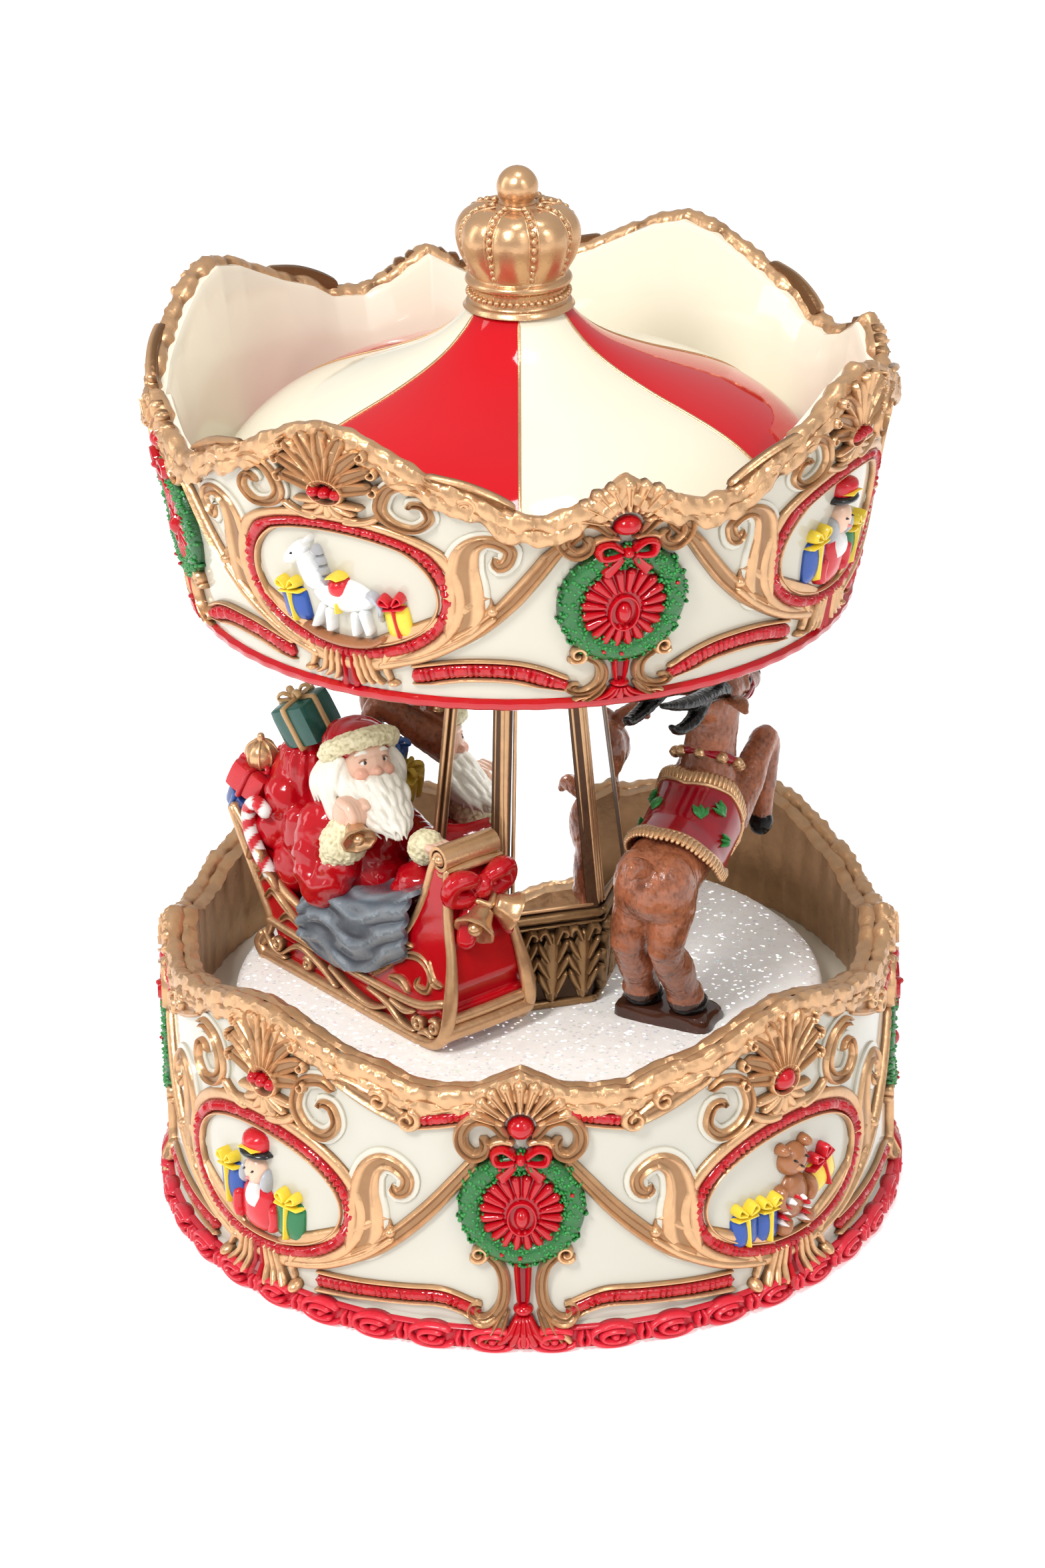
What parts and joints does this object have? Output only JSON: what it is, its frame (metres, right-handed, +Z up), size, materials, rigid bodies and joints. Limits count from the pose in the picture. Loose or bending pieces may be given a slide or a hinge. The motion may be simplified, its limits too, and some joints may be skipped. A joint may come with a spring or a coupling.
{
  "type": "carousel music box",
  "caption": "Wind-up music box shaped as a carousel: ornate drum base, turning snow platform with mirrored column, sleigh and reindeer, under a tent canopy with a crown.",
  "frame": {"origin": "centre of the bottom ring that the music box stands on", "axes": "+Z up along the carousel's axis; the front wreath of the base faces -Y"},
  "size_m": [0.15, 0.15, 0.2117],
  "materials": {
    "ivory_enamel": "glossy ivory enamel over cast resin with red and antique gold relief",
    "red_enamel": "glossy crimson enamel",
    "antique_gold": "satin antique gold paint",
    "bright_gold": "polished gold",
    "snow": "white glitter flock",
    "mirror_glass": "silvered mirror",
    "deer_brown": "satin brown paint over resin",
    "antler_black": "gloss black paint",
    "plate_brown": "gloss dark brown paint",
    "blanket_grey": "satin grey-blue paint",
    "gift_green": "gloss dark green paint",
    "gift_blue": "gloss blue paint",
    "cane_stripe": "gloss red and white paint",
    "brass": "machined",
    "steel": "bright",
    "zinc": "cast grey",
    "black_plastic": "moulded",
    "white_plastic": "moulded"
  },
  "bodies": {
    "base": {"base_shell": "ivory_enamel", "bottom_cover": "black_plastic", "cover_screws": "steel", "movement_screws": "steel", "movement_bedplate": "zinc", "turntable_bush": "brass", "cylinder_bearing": "brass", "governor_bracket": "brass", "train_bracket": "brass", "comb_block": "zinc", "comb": "steel", "comb_screws": "steel"},
    "carousel": {"great_wheel": "brass", "mainspring": "steel", "output_spindle": "brass", "turntable_hub": "white_plastic", "hub_screws": "steel", "snow_platform": "snow", "centre_rod": "steel", "column_plinth": "antique_gold", "mirror_column": "antique_gold", "mirror_panel_1": "mirror_glass", "mirror_panel_2": "mirror_glass", "mirror_panel_3": "mirror_glass", "mirror_panel_4": "mirror_glass", "mirror_panel_5": "mirror_glass", "mirror_panel_6": "mirror_glass", "canopy_band": "ivory_enamel", "canopy_ceiling": "ivory_enamel", "tent_roof": "red_enamel", "crown_finial": "antique_gold", "finial_ball": "bright_gold", "sleigh_body": "red_enamel", "sleigh_runners": "antique_gold", "dash_scroll": "antique_gold", "dash_bow": "red_enamel", "dash_bells": "bright_gold", "sleigh_rider": "red_enamel", "lap_blanket": "blanket_grey", "hand_horn": "bright_gold", "gift_sack": "red_enamel", "green_gift": "gift_green", "gift_parcels": "gift_blue", "gold_ball": "bright_gold", "candy_cane": "cane_stripe", "reindeer_1": "deer_brown", "reindeer_2": "deer_brown", "antlers_1": "antler_black", "antlers_2": "antler_black", "hoof_plate_1": "plate_brown", "hoof_plate_2": "plate_brown"},
    "key": {"winding_key": "bright_gold", "winding_arbor": "steel"},
    "cylinder": {"music_cylinder": "brass", "cylinder_arbor": "steel", "cylinder_pinion": "brass", "cylinder_gear": "brass"},
    "governor": {"governor_arbor": "steel", "governor_wheel": "brass"},
    "fly": {"governor_fly": "steel"}
  },
  "joints": [
    {"name": "carousel_spin", "type": "hinge", "parent": "base", "child": "carousel", "pos_m": [0, 0, 0.035], "axis": [0, 0, 1], "continuous": true},
    {"name": "key_spin", "type": "hinge", "parent": "base", "child": "key", "pos_m": [0, 0, 0.01], "axis": [0, 0, 1], "continuous": true},
    {"name": "cylinder_spin", "type": "hinge", "parent": "base", "child": "cylinder", "pos_m": [0.032, 0, 0.0222], "axis": [1, 0, 0], "continuous": true},
    {"name": "governor_spin", "type": "hinge", "parent": "base", "child": "governor", "pos_m": [0.042, 0.0106, 0.0222], "axis": [1, 0, 0], "continuous": true},
    {"name": "fly_spin", "type": "hinge", "parent": "base", "child": "fly", "pos_m": [0.042, 0.0207, 0.0222], "axis": [1, 0, 0], "continuous": true}
  ],
  "couplings": [
    {"joint": "cylinder_spin", "follows": "carousel_spin", "ratio": 3},
    {"joint": "governor_spin", "follows": "carousel_spin", "ratio": -7.5},
    {"joint": "fly_spin", "follows": "carousel_spin", "ratio": 22.5}
  ]
}
